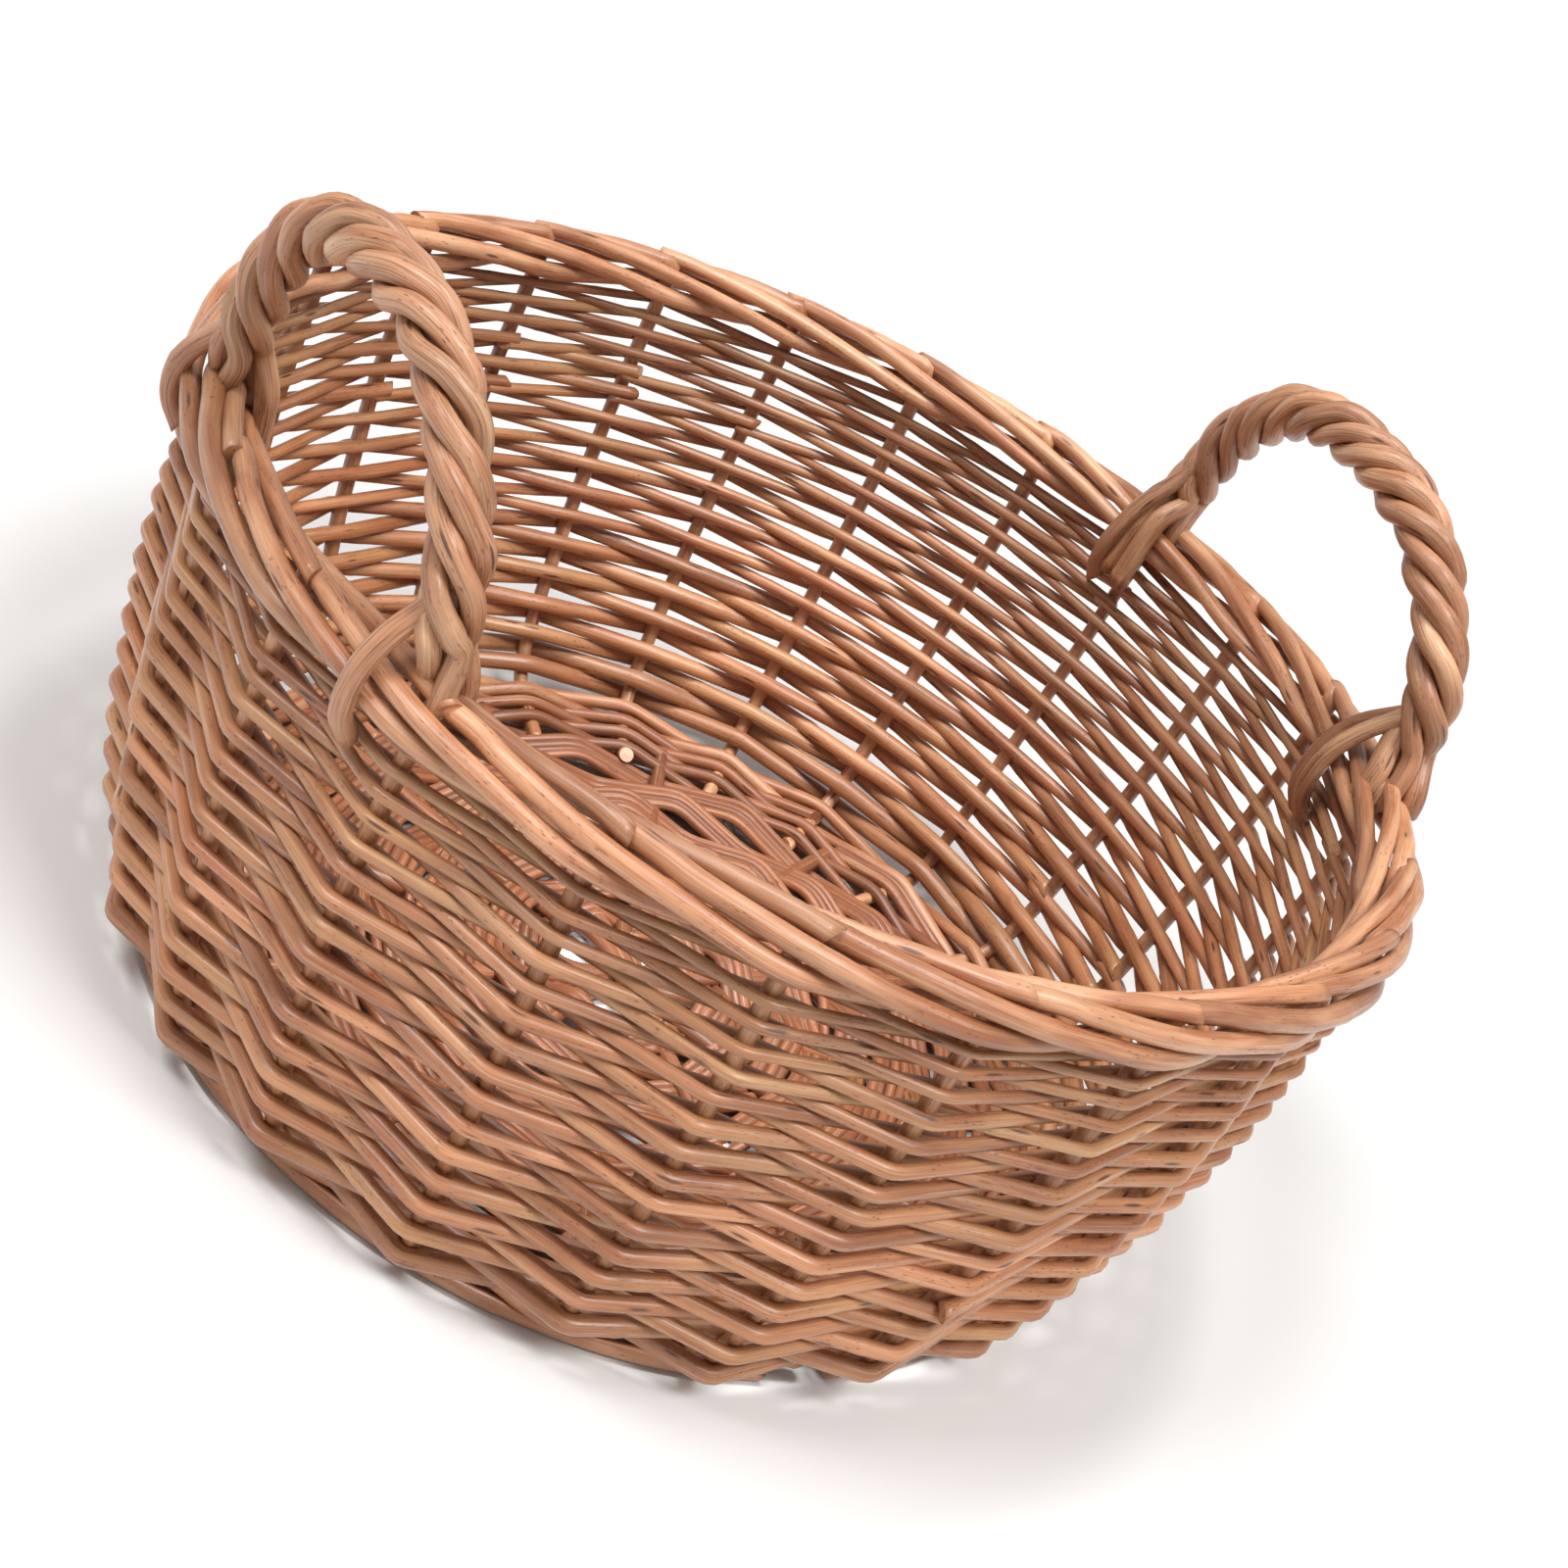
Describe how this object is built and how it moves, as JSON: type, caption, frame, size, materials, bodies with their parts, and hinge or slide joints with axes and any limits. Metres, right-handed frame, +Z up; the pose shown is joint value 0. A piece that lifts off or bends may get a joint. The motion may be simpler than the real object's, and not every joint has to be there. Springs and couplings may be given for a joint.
{
  "type": "woven fruit basket",
  "caption": "Round woven willow fruit basket with an openwork wall, a rolled rod border and two roped ear handles.",
  "frame": {"origin": "on the ground under the middle of the basket", "axes": "+Z up out of the basket's mouth; the two handles stand near +X and -X; -Y is the front, between them"},
  "size_m": [0.3152, 0.3134, 0.2052],
  "materials": {
    "stake_willow": "satin peeled willow",
    "weaver_willow": "satin peeled willow",
    "handle_willow": "satin peeled willow, creased by twisting",
    "base_willow": "dull peeled willow"
  },
  "bodies": {
    "root": {"foot_rod": "stake_willow", "base_stick_along_1": "base_willow", "base_stick_across_1": "base_willow", "base_stick_along_2": "base_willow", "base_stick_across_2": "base_willow", "base_stick_along_3": "base_willow", "base_stick_across_3": "base_willow", "base_weaver_1": "base_willow", "base_weaver_2": "base_willow", "base_weaver_3": "base_willow", "base_edge_weaver": "base_willow", "stake_01": "stake_willow", "stake_02": "stake_willow", "stake_03": "stake_willow", "stake_04": "stake_willow", "stake_05": "stake_willow", "stake_06": "stake_willow", "stake_07": "stake_willow", "stake_08": "stake_willow", "stake_09": "stake_willow", "stake_10": "stake_willow", "stake_11": "stake_willow", "stake_12": "stake_willow", "stake_13": "stake_willow", "stake_14": "stake_willow", "stake_15": "stake_willow", "stake_16": "stake_willow", "stake_17": "stake_willow", "stake_18": "stake_willow", "stake_19": "stake_willow", "stake_20": "stake_willow", "stake_21": "stake_willow", "stake_22": "stake_willow", "stake_23": "stake_willow", "wall_weaver_01": "weaver_willow", "wall_weaver_02": "weaver_willow", "wall_weaver_03": "weaver_willow", "wall_weaver_04": "weaver_willow", "wall_weaver_05": "weaver_willow", "wall_weaver_06": "weaver_willow", "wall_weaver_07": "weaver_willow", "wall_weaver_08": "weaver_willow", "wall_weaver_09": "weaver_willow", "wall_weaver_10": "weaver_willow", "wall_weaver_11": "weaver_willow", "wall_weaver_12": "weaver_willow", "wall_weaver_13": "weaver_willow", "handle_right_core": "handle_willow", "handle_right_strand_1": "handle_willow", "handle_right_strand_2": "handle_willow", "handle_right_strand_3": "handle_willow", "handle_right_tie_front": "handle_willow", "handle_right_tie_rear": "handle_willow", "handle_left_core": "handle_willow", "handle_left_strand_1": "handle_willow", "handle_left_strand_2": "handle_willow", "handle_left_strand_3": "handle_willow", "handle_left_tie_front": "handle_willow", "handle_left_tie_rear": "handle_willow"}
  },
  "joints": []
}
